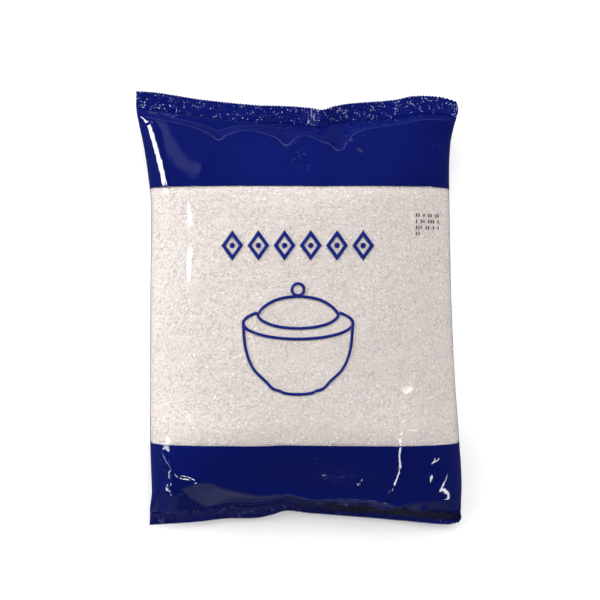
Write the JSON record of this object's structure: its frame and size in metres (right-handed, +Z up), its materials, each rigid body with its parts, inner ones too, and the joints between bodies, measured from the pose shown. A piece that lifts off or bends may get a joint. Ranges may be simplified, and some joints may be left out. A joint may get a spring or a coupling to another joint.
{
  "type": "bag of sugar",
  "caption": "Sealed clear pillow pack of white sugar with blue bands at both ends, lying flat on its back.",
  "frame": {"origin": "on the surface that the pack lies on, under the middle of its outline", "axes": "+Z up out of the printed front, +Y towards the top seal, +X to the right as the front is seen"},
  "size_m": [0.1864, 0.2492, 0.045],
  "materials": {
    "clear_film": "clear glossy film over white crystals",
    "printed_film": "deep blue print on glossy film",
    "sugar": "white sparkling crystals"
  },
  "bodies": {
    "root": {"sugar_pack": "clear_film"}
  },
  "joints": []
}
